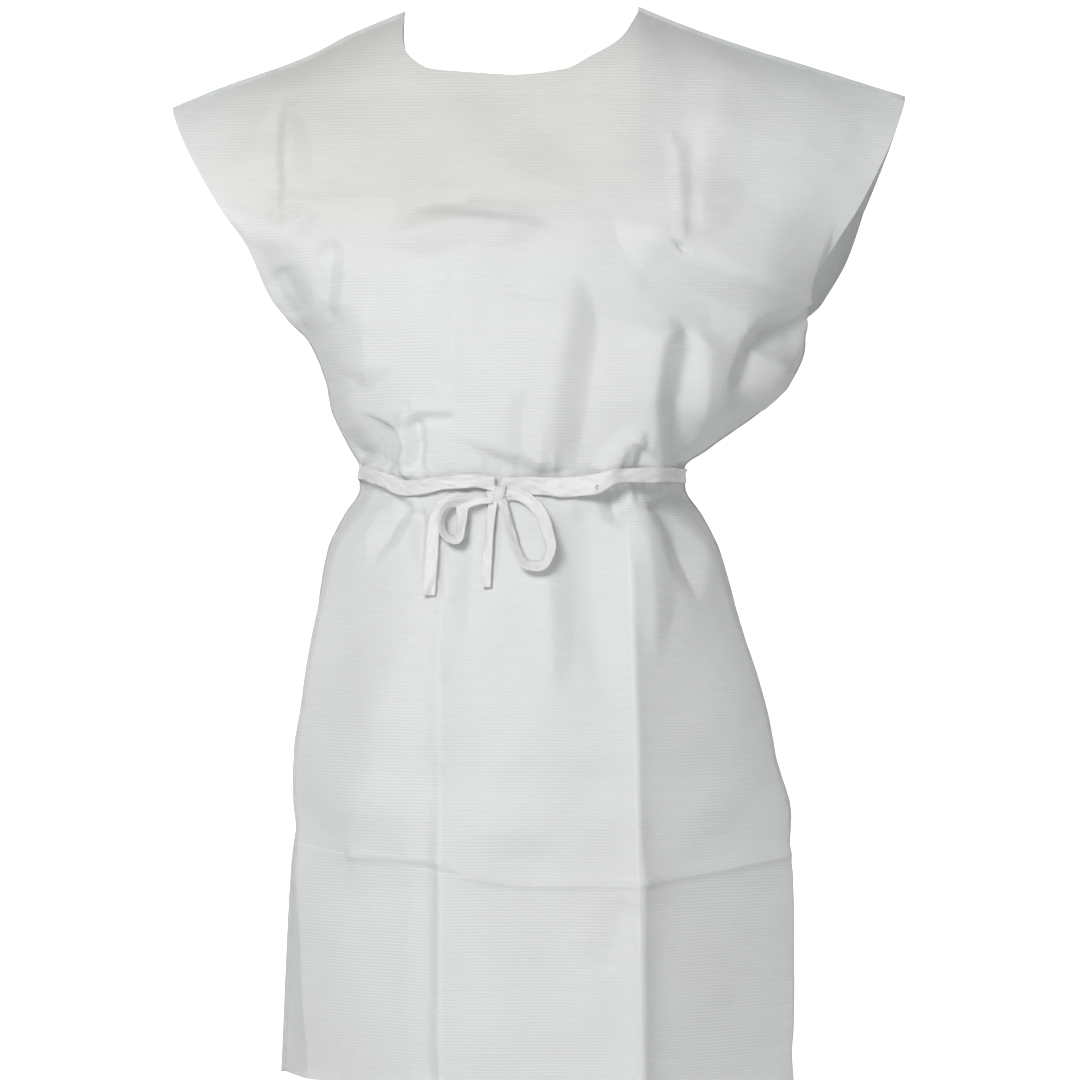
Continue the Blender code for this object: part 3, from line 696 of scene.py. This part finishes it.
def back_points(side, seed):
    """One back half: rows run down from its cut top edge to the hem, columns from the opening outward."""
    sign = SIGN[side]
    share = np.concatenate([np.linspace(0, 0.5, CREASE_COLUMN + 1),
                            np.linspace(0.5, 1, BACK_COLUMNS - CREASE_COLUMN)[1:]])
    neck, shoulder, neck_share = BACK_TOP[side]
    at_neck = share <= neck_share
    top_x, top_z = np.zeros(BACK_COLUMNS), np.zeros(BACK_COLUMNS)
    top_x[at_neck], top_z[at_neck] = along(neck, share[at_neck] / neck_share)
    top_x[~at_neck], top_z[~at_neck] = along(shoulder, (share[~at_neck] - neck_share) / (1 - neck_share))
    yoke = np.linspace(0, 1, BACK_YOKE_ROWS, endpoint=False)
    height = np.concatenate([np.linspace(YOKE_Z, FLAP_TOP_Z, BACK_CHEST_ROWS, endpoint=False),
                             np.linspace(FLAP_TOP_Z, HEM_Z, FLAP_ROWS + 1)])
    crease_point, crease_down = flap_crease(side)
    opening = np.stack([sign * table(BACK_MIDDLE, 1, height), table(BACK_MIDDLE, 2, height)], axis=-1)
    crease = np.stack([sign * table(BACK_CREASE, 1, height), table(BACK_CREASE, 2, height)], axis=-1)
    below_top = height <= FLAP_TOP_Z + 1e-9
    run = (height - crease_point[2]) / crease_down[2]
    crease[below_top] = (crease_point[:2] + run[:, None] * crease_down[:2])[below_top]
    edge = np.stack(side_edge(side, height), axis=-1)
    reach_in = np.linalg.norm(crease - opening, axis=-1, keepdims=True)
    reach_out = np.linalg.norm(edge - crease, axis=-1, keepdims=True)
    turn = unit(edge - opening)
    level = np.array([sign, 0.0])
    forward = np.array([sign * 0.02, -1.0])
    t_in = (share[: CREASE_COLUMN + 1] / 0.5)[None, :, None]
    t_out = ((share[CREASE_COLUMN + 1:] - 0.5) / 0.5)[None, :, None]
    inner = joined(opening[:, None], crease[:, None],
                   (level * reach_in)[:, None], (turn * reach_in)[:, None], t_in)
    outer = joined(crease[:, None], edge[:, None],
                   (turn * reach_out)[:, None], (forward * reach_out)[:, None], t_out)
    plan = np.concatenate([inner, outer], axis=1)
    lower = np.concatenate([plan, np.broadcast_to(height[:, None, None], (*plan.shape[:2], 1))], axis=-1)
    yoke_z = top_z + yoke[:, None] * (YOKE_Z - top_z)
    yoke_x = top_x + yoke_turn(yoke[:, None], share) * (plan[0, :, 0] - top_x)
    below = np.maximum(0, shoulder_height(yoke_x) - yoke_z)
    depth = plan[0, :, 1] * (0.86 + 0.14 * yoke[:, None]) * (1 - np.exp(-below / 0.045))
    upper = np.stack([yoke_x, depth + SEAM_ROOM, yoke_z], axis=-1)
    points = np.concatenate([upper, lower], axis=0)
    shares = np.broadcast_to(share, points.shape[:2])
    lift = pleat_lift(shares, points[..., 2], seed)
    lift += 0.010 * crumple(points[..., 0] * 1.1 + 0.3, points[..., 2], seed)
    for level_z in BACK_LEVEL_CREASES:
        lift += 0.0020 * np.exp(-np.abs(points[..., 2] - level_z) / 0.009)
    rim = np.minimum(ease((1 - shares) / 0.10), ease(np.maximum(0, shoulder_height(points[..., 0])
                                                                - points[..., 2]) / 0.05))
    held = np.where(points[..., 2] < FLAP_TOP_Z + 0.03, ease(np.abs(shares - 0.5) / 0.05),
                    ease(np.abs(shares - 0.5) / 0.05 + ease((points[..., 2] - FLAP_TOP_Z - 0.03) / 0.05)))
    points += outward(points, sign) * (lift * rim * held)[..., None]
    return points


FLAP_TOP_ROW = BACK_YOKE_ROWS + BACK_CHEST_ROWS
back_grids = {}
for side, seed in (("left", 21), ("right", 34)):
    sign = SIGN[side]
    grid = back_points(side, seed)
    back_grids[side] = grid
    rows, columns = np.indices((grid.shape[0] - 1, grid.shape[1] - 1))
    in_flap = (rows >= FLAP_TOP_ROW) & (columns < CREASE_COLUMN)
    back_sheet = cloth("back_sheet_" + side, grid, sign, keep=~in_flap)
    skirt_flap = cloth("skirt_flap_" + side, grid[FLAP_TOP_ROW:, : CREASE_COLUMN + 1], sign)
    dress(back_sheet, tissue, "back_panel_" + side)
    dress(skirt_flap, tissue, "back_flap_" + side)
    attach(back_sheet, "gown")
    "flap_" + side
    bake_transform(skirt_flap)


# ---------------------------------------------------------------------------------------------------
# Bonded seams: along the shoulders and down the sides the plies are pressed together in a narrow band,
# thinner and greyer than the sheet and marked with a fine knurl, that stands off the edge as a fin.
# ---------------------------------------------------------------------------------------------------

PRESSED_GREY = (0.60, 0.62, 0.62, 1.0)


def bond_finish(name):
    """Pressed laminate: greyer, smoother, and knurled with small dots."""
    material, nodes, skin = new_finish(name)
    place = nodes.place()
    dots = nodes.node("ShaderNodeTexVoronoi", inputs={"Vector": place, "Scale": 620.0})
    stains = nodes.noise(place, 60.0, 3.0)
    tint = shaded(nodes, PRESSED_GREY, stains * 0.16 + dots * 0.10 + 0.84)
    cover(nodes, skin, tint, dots * 0.0006 + stains * 0.0003, strength=0.5, roughness=0.6)
    return material


bonded = bond_finish("bonded_edge")


def ribbon(name, middles, acrosses, thickness, relief=0.0, seed=1, cells=8):
    """A closed flat band: middles are its middle line, acrosses its edge-to-edge vectors there. relief
    is how far its crinkles rise."""
    rng = np.random.default_rng(seed)
    count = len(middles)
    normals = unit(np.cross(np.gradient(middles, axis=0), acrosses))
    share = np.linspace(-0.5, 0.5, cells + 1)
    run = run_lengths(middles)
    crinkle = np.zeros((count, cells + 1))
    for _ in range(7):
        lean, pitch, phase = rng.uniform(-0.5, 0.5), rng.uniform(0.006, 0.022), rng.uniform(0, 1)
        line = (share[None, :] * 0.014 + lean * run[:, None]) / pitch + phase
        crinkle += (1 - 2 * np.abs(line % 1 - 0.5)) / 7
    crinkle = (crinkle - crinkle.mean()) * relief * 2.4
    middle = (middles[:, None] + acrosses[:, None] * share[None, :, None]
              + normals[:, None] * crinkle[..., None])
    halves = normals[:, None] * thickness / 2
    bm = bmesh.new()
    front = [[bm.verts.new(p) for p in row] for row in middle + halves]
    behind = [[bm.verts.new(p) for p in row] for row in middle - halves]
    for r in range(count - 1):
        for c in range(cells):
            bm.faces.new((front[r][c], front[r][c + 1], front[r + 1][c + 1], front[r + 1][c]))
            bm.faces.new((behind[r][c], behind[r + 1][c], behind[r + 1][c + 1], behind[r][c + 1]))
        bm.faces.new((front[r][0], front[r + 1][0], behind[r + 1][0], behind[r][0]))
        bm.faces.new((front[r][cells], behind[r][cells], behind[r + 1][cells], front[r + 1][cells]))
    for c in range(cells):
        bm.faces.new((front[0][c], behind[0][c], behind[0][c + 1], front[0][c + 1]))
        bm.faces.new((front[-1][c], front[-1][c + 1], behind[-1][c + 1], behind[-1][c]))
    bmesh.ops.recalc_face_normals(bm, faces=bm.faces)
    return shaped(name, bm)


BOND_THICKNESS = 0.0009
for side, line in (("left", SHOULDER_LEFT), ("right", SHOULDER_RIGHT)):
    sign = SIGN[side]
    steps = np.linspace(0, 1, 90)
    x, z = along(line, steps)
    wobble = 0.0006 * np.sin(steps * 31) + 0.0005 * np.sin(steps * 57 + 1)
    middles = np.stack([x, wobble, z + 0.0020], axis=-1)
    acrosses = np.tile([0.0, 0.0, BOND_WIDTH + 0.0012], (len(steps), 1))
    shoulder_bond = ribbon("shoulder_bond_" + side, middles, acrosses, BOND_THICKNESS, 0.0003, 5, 4)
    height = np.linspace(UNDERARM_Z - 0.001, HEM_Z, 260)
    x, y = side_edge(side, height)
    lean = 1.15 - 0.95 * ease((-0.56 - height) / 0.25) + 0.12 * np.sin(height * 19)
    outer = np.stack([sign * np.cos(lean), np.sin(lean), np.zeros_like(lean)], axis=-1)
    grow = ease((UNDERARM_Z - height) / 0.012)[:, None]
    middles = np.stack([x, y, height], axis=-1) + outer * (BOND_WIDTH * 0.45) * grow
    acrosses = outer * (BOND_WIDTH + 0.0010) * (0.15 + 0.85 * grow)
    side_bond = ribbon("side_bond_" + side, middles, acrosses, BOND_THICKNESS, 0.0003, 6, 4)
    for piece, node in ((shoulder_bond, "shoulder_seam_" + side), (side_bond, "side_seam_" + side)):
        dress(piece, bonded, node)
        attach(piece, "gown")


# ---------------------------------------------------------------------------------------------------
# Waist strap: a flat band of soft nonwoven, a little warmer in tone than the sheets, that goes once round
# the gathered waist and crosses at the knot. A small weld spot holds it to the front sheet.
# ---------------------------------------------------------------------------------------------------

STRAP_WHITE = (0.84, 0.848, 0.832, 1.0)


def strap_finish(name):
    """Soft nonwoven: faintly glossy, with long crinkles and fine fibres."""
    material, nodes, skin = new_finish(name, through=0.10)
    place = nodes.place()
    crinkles = nodes.noise(place, 160.0, 3.0)
    fibres = nodes.noise(place, 1100.0, 2.0)
    tint = shaded(nodes, STRAP_WHITE, crinkles * 0.10 + fibres * 0.05 + 0.925)
    cover(nodes, skin, tint, crinkles * 0.0012 + fibres * 0.00012, strength=0.5, roughness=0.5)
    skin.inputs["Sheen Weight"].default_value = 0.15
    return material


nonwoven = strap_finish("strap_nonwoven")

STRAP_THICKNESS = 0.0009
STRAP_STEPS = 420
STRAP_MIDDLE = np.array([0.0, -0.008])
STRAP_LINE = [(-0.164, -0.461), (-0.138, -0.470), (-0.112, -0.479), (-0.075, -0.4745), (-0.046, -0.4725),
              (-0.022, -0.476), (0.018, -0.4775), (0.040, -0.4785), (0.062, -0.4770), (0.076, -0.4745),
              (0.094, -0.4675), (0.120, -0.4665), (0.165, -0.466)]
STRAP_BACK_Z = -0.466
STRAP_WIDTHS = [(-0.164, 0.0150), (-0.112, 0.0155), (-0.070, 0.0125), (-0.030, 0.0140), (0.018, 0.0175),
                (0.050, 0.0195), (0.070, 0.0205), (0.094, 0.0145), (0.130, 0.0140), (0.165, 0.0140)]


def strap_height(x, y):
    """The strap's height: along its wavy front line, and level round the back."""
    front = smooth([p[0] for p in STRAP_LINE], [p[1] for p in STRAP_LINE], x)
    return front + ease((y - STRAP_MIDDLE[1]) / 0.03) * (STRAP_BACK_Z - front)


def waist_reach(bearings):
    """How far out the strap lies at each bearing: just clear of every fold of the sheets under it."""
    clouds = [front_grid, back_grids["left"], back_grids["right"]]
    cloud = np.concatenate([grid.reshape(-1, 3) for grid in clouds])
    near = np.abs(cloud[:, 2] - strap_height(cloud[:, 0], cloud[:, 1])) < 0.0085
    off = cloud[near][:, :2] - STRAP_MIDDLE
    bearing, reach = np.arctan2(off[:, 0], -off[:, 1]), np.hypot(off[:, 0], off[:, 1])
    bins = len(bearings)
    most = np.zeros(bins)
    slot = np.floor((bearing + math.pi) / (2 * math.pi) * bins).astype(int) % bins
    np.maximum.at(most, slot, reach)
    known = most > 0
    places = np.arange(bins)
    most = np.interp(places, places[known], most[known], period=bins)
    spread = np.max([np.roll(most, k) for k in range(-5, 6)], axis=0)
    return np.mean([np.roll(spread, k) for k in range(-6, 7)], axis=0)


knot_place = np.array(next(j for j in frame["joints"] if j["child"] == "bow_left")["pos_m"])
bin_bearings = (np.arange(360) + 0.5) / 360 * 2 * math.pi - math.pi
reaches = waist_reach(bin_bearings)
knot_bearing = math.atan2(knot_place[0] - STRAP_MIDDLE[0], -(knot_place[1] - STRAP_MIDDLE[1]))
bearings = np.linspace(knot_bearing + 0.03, knot_bearing + 2 * math.pi - 0.03, STRAP_STEPS)
reach = np.interp((bearings + math.pi) % (2 * math.pi), bin_bearings + math.pi, reaches, period=2 * math.pi)
reach += STRAP_THICKNESS / 2 + 0.0014
strap_x = STRAP_MIDDLE[0] + np.sin(bearings) * reach
strap_y = STRAP_MIDDLE[1] - np.cos(bearings) * reach
strap_points = np.stack([strap_x, strap_y, strap_height(strap_x, strap_y)], axis=-1)
strap_width = smooth([p[0] for p in STRAP_WIDTHS], [p[1] for p in STRAP_WIDTHS], strap_x)
strap_width = np.where(strap_y > 0, 0.013, strap_width) + 0.0008 * np.sin(bearings * 23)
tilt = 0.12 * np.sin(bearings * 9 + 1)
outer = np.stack([np.sin(bearings), -np.cos(bearings), np.zeros(STRAP_STEPS)], axis=-1)
strap_across = (np.array([0, 0, 1.0]) + outer * tilt[:, None]) * strap_width[:, None]
waist_strap = ribbon("waist_strap", strap_points, strap_across, STRAP_THICKNESS, 0.0022, 12, 12)
dress(waist_strap, nonwoven, "waist_tie")
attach(waist_strap, "gown")


def turns(count):
    """Evenly spaced angles once round a circle."""
    return np.linspace(0, 2 * math.pi, count, endpoint=False)


def close_rings(bm, rings):
    """Faces between each ring of vertices and the next."""
    for low, high in zip(rings, rings[1:]):
        for k in range(len(low)):
            after = (k + 1) % len(low)
            bm.faces.new((low[k], low[after], high[after], high[k]))


# The weld spot: a pressed disc with a raised rim, on the strap's lower half
SPOT_RADIUS = 0.0024
SPOT_SIDES = 28
# How far out, as a share of the radius, and how far proud of the strap, from the rim's foot inward
SPOT_PROFILE = ((1.0, -0.0010), (1.0, 0.0002), (0.82, 0.0007), (0.62, 0.0005), (0.50, 0.0001), (0.25, 0.0))
spot_x = sum(c.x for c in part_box("tie_weld_spot")) / 2
nearest = int(np.argmin(np.abs(strap_points[:, 0] - spot_x) + (strap_points[:, 1] > 0)))
spot_out = outer[nearest]
spot_up = np.array([0, 0, 1.0])
spot_side = np.cross(spot_up, spot_out)
spot_centre = strap_points[nearest] + spot_out * 0.0013 - spot_up * 0.0035
bm = bmesh.new()
rings = []
for radius, rise in SPOT_PROFILE:
    ring = []
    for a in turns(SPOT_SIDES):
        arm = math.cos(a) * spot_side + math.sin(a) * spot_up
        ring.append(bm.verts.new(spot_centre + SPOT_RADIUS * radius * arm + spot_out * rise))
    rings.append(ring)
close_rings(bm, rings)
bm.faces.new(rings[-1])
bm.faces.new(rings[0][::-1])
bmesh.ops.recalc_face_normals(bm, faces=bm.faces)
strap_spot = shaped("strap_spot", bm)
dress(strap_spot, bonded, "tie_weld_spot")
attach(strap_spot, "gown")


# ---------------------------------------------------------------------------------------------------
# Bow: the strap's two ends tied in front, left of the middle. Each side has a loop and a flat tail that
# hang from the knot against the skirt. The left loop and tail swing together, the right ones alone.
# ---------------------------------------------------------------------------------------------------

BOW_STEPS = 90
# Middle lines across and up from the knot, then the strap's width and its twist from flat, in degrees
LOOPS = {
    "left": dict(route=[(-0.006, -0.0115), (-0.021, -0.0125), (-0.034, -0.018), (-0.036, -0.034),
                        (-0.042, -0.052), (-0.051, -0.048), (-0.056, -0.032), (-0.050, -0.019),
                        (-0.031, -0.014), (-0.012, -0.012)],
                 widths=(0.010, 0.0130, 0.0135, 0.0125, 0.010), twists=(15, 32, 58, 44, 20), lift=0.0020),
    "right": dict(route=[(0.006, -0.008), (0.022, -0.009), (0.038, -0.022), (0.047, -0.042), (0.050, -0.062),
                         (0.041, -0.077), (0.028, -0.076), (0.017, -0.060), (0.010, -0.040), (0.006, -0.022),
                         (0.003, -0.012)],
                  widths=(0.011, 0.0135, 0.0140, 0.0125, 0.010), twists=(12, 26, 50, 44, 26), lift=0.0020),
}
TAILS = {
    "left": dict(route=[(-0.006, -0.011), (-0.028, -0.0115), (-0.048, -0.0125), (-0.060, -0.0215),
                        (-0.0635, -0.040), (-0.0655, -0.066), (-0.0680, -0.106)],
                 widths=(0.009, 0.010, 0.0120, 0.0130, 0.0125), twists=(4, 12, 20, 8, -8), lift=0.0008),
    "right": dict(route=[(-0.004, -0.008), (-0.007, -0.026), (-0.010, -0.052), (-0.0115, -0.078),
                         (-0.0120, -0.098)],
                  widths=(0.008, 0.009, 0.0095, 0.0095, 0.0090), twists=(10, 24, 30, 14, 8), lift=0.0010),
}
flat_front = front_grid.reshape(-1, 3)


def before_sheet(x, z):
    """How far forward the front sheet stands around a point: the foremost of its folds near by."""
    near = flat_front[(np.abs(flat_front[:, 0] - x) < 0.007) & (np.abs(flat_front[:, 2] - z) < 0.007)]
    return near[:, 1].min()


def through(values, share):
    """A smooth run through evenly spaced values."""
    return smooth(np.linspace(0, 1, len(values)), values, share)


def strap_end(name, route, widths, twists, lift, relief, seed):
    """A hanging length of strap along a route of places across and up from the knot."""
    share = np.linspace(0, 1, BOW_STEPS)
    route = np.asarray(route, float)
    steps = run_lengths(route)
    at = share * steps[-1]
    spots = []
    for axis in (0, 1):
        slopes = np.gradient(route[:, axis], steps)
        i = np.clip(np.searchsorted(steps, at, side="right") - 1, 0, len(steps) - 2)
        span = steps[i + 1] - steps[i]
        spots.append(joined(route[i, axis], route[i + 1, axis], slopes[i] * span, slopes[i + 1] * span,
                            (at - steps[i]) / span))
    x, z = knot_place[0] + spots[0], knot_place[2] + spots[1]
    width, twist = through(widths, share), np.radians(through(twists, share))
    surface = np.array([before_sheet(px, pz) for px, pz in zip(x, z)])
    surface = np.array([surface[max(0, k - 5): k + 6].min() for k in range(BOW_STEPS)])
    surface = np.convolve(np.pad(surface, 4, mode="edge"), np.ones(9) / 9, mode="valid")
    y = surface - lift - width / 2 * np.abs(np.sin(twist)) - 0.0012
    middles = np.stack([x, y, z], axis=-1)
    ahead = unit(np.gradient(middles, axis=0))
    front = np.array([0, -1.0, 0])
    beside = unit(np.cross(front, ahead))
    across = beside * np.cos(twist)[:, None] + front * np.sin(twist)[:, None]
    return ribbon(name, middles, across * width[:, None], STRAP_THICKNESS, relief, seed, 8)


for side, loop_body, tail_body in (("left", "bow_left", "bow_left"), ("right", "loop_right", "tail_right")):
    loop = strap_end("loop_" + side, relief=0.0016, seed=41 if side == "left" else 43, **LOOPS[side])
    tail = strap_end("tail_" + side, relief=0.0017, seed=51 if side == "left" else 57, **TAILS[side])
    for piece, node, body in ((loop, "bow_loop_" + side, loop_body), (tail, "tie_tail_" + side, tail_body)):
        dress(piece, nonwoven, node)
        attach(piece, body)

# The knot: the strap wrapped once over itself, a puckered band between two pinched and pleated ends
KNOT_SIZE = np.array([0.0135, 0.0080, 0.0105])
knot_middle = knot_place + np.array([0.0, -0.0002, -0.0085])
bm = bmesh.new()
knot_rings = []
for u in np.linspace(-1, 1, 49):
    wrap = ease((0.46 - abs(u)) / 0.10)
    body = math.sqrt(max(0.0, 1 - abs(u) ** 2.6)) * (0.70 + 0.06 * math.sin(u * 9))
    ring = []
    for a in turns(64):
        pleats = (1 + (1 - wrap) * 0.17 * math.sin(7 * a + 2.5 * u)
                  + wrap * 0.05 * math.sin(u * 34 + 2 * math.sin(a)))
        radius = (body + wrap * (0.30 + 0.05 * math.sin(3 * a))) * pleats
        skew = 0.16 * math.sin(a) * wrap
        place = (u + skew, -radius * math.cos(a), radius * math.sin(a))
        ring.append(bm.verts.new(knot_middle + KNOT_SIZE * place))
    knot_rings.append(ring)
close_rings(bm, knot_rings)
bmesh.ops.remove_doubles(bm, verts=bm.verts, dist=1e-6)
bmesh.ops.recalc_face_normals(bm, faces=bm.faces)
knot = shaped("knot", bm)
dress(knot, nonwoven, "bow_knot")
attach(knot, "gown")


# ---------------------------------------------------------------------------------------------------
# Studio: a round pale floor that curves up into a wall on every side, a soft key light from the left of
# the camera, a weak one from the right, one on the wall behind, and the camera level with the gown.
# ---------------------------------------------------------------------------------------------------

gown_middle = (cad_low + cad_high) / 2
FRAME_HEIGHT = 1.080
CAMERA_DISTANCE = 5.0
SENSOR = 36.0

camera_data = bpy.data.cameras.new("camera")
camera = placed("camera", camera_data)
camera_data.sensor_width = SENSOR
camera_data.lens = SENSOR * CAMERA_DISTANCE / FRAME_HEIGHT
camera.location = (0.018, -CAMERA_DISTANCE, -0.530)
camera.rotation_euler = (math.pi / 2, 0, 0)
bpy.context.scene.camera = camera

FLOOR_Z = HEM_Z - 0.30
FLOOR_REACH = 7.0
WALL_CURVE = 2.5
WALL_TOP = 5.5
SIDES = 72
profile = [(reach, 0.0) for reach in (1.5, 3.5, FLOOR_REACH)]
profile += [(FLOOR_REACH + WALL_CURVE * math.sin(a), WALL_CURVE * (1 - math.cos(a)))
            for a in np.linspace(0, math.pi / 2, 12)[1:]]
profile.append((FLOOR_REACH + WALL_CURVE, WALL_TOP))
bm = bmesh.new()
middle = bm.verts.new((0, 0, FLOOR_Z))
rings = [[bm.verts.new((reach * math.cos(a), reach * math.sin(a), FLOOR_Z + rise))
          for a in turns(SIDES)] for reach, rise in profile]
for k in range(SIDES):
    bm.faces.new((middle, rings[0][k], rings[0][(k + 1) % SIDES]))
close_rings(bm, rings[::-1])
backdrop = shaped("backdrop", bm)
backdrop_finish, backdrop_nodes, backdrop_skin = new_finish("backdrop_paper")
backdrop_skin.inputs["Base Color"].default_value = (0.93, 0.93, 0.93, 1)
backdrop_skin.inputs["Roughness"].default_value = 0.9
backdrop.data.materials.append(backdrop_finish)


def soft_light(name, place, target, size, power):
    """A round area light at a place, turned to a target."""
    data = bpy.data.lights.new(name, "AREA")
    data.shape = "DISK"
    data.size = size
    data.energy = power
    lamp = placed(name, data)
    lamp.location = place
    lamp.rotation_euler = (Vector(target) - Vector(place)).to_track_quat("-Z", "Y").to_euler()


soft_light("key_light", (-0.82, -2.50, 0.55), (0.0, -0.1, -0.42), 0.9, 46.5)
soft_light("fill_light", (2.4, -3.0, 0.6), gown_middle, 2.0, 3)
soft_light("backdrop_light", (0.0, 4.2, 3.6), (0.0, 9.0, -0.6), 3.0, 520)
world = bpy.data.worlds.new("studio")
bpy.context.scene.world = world
world.use_nodes = True
world.node_tree.nodes["Background"].inputs[0].default_value = (1.0, 1.0, 1.0, 1.0)
world.node_tree.nodes["Background"].inputs[1].default_value = 0.25
bpy.context.scene.view_settings.view_transform = "Standard"
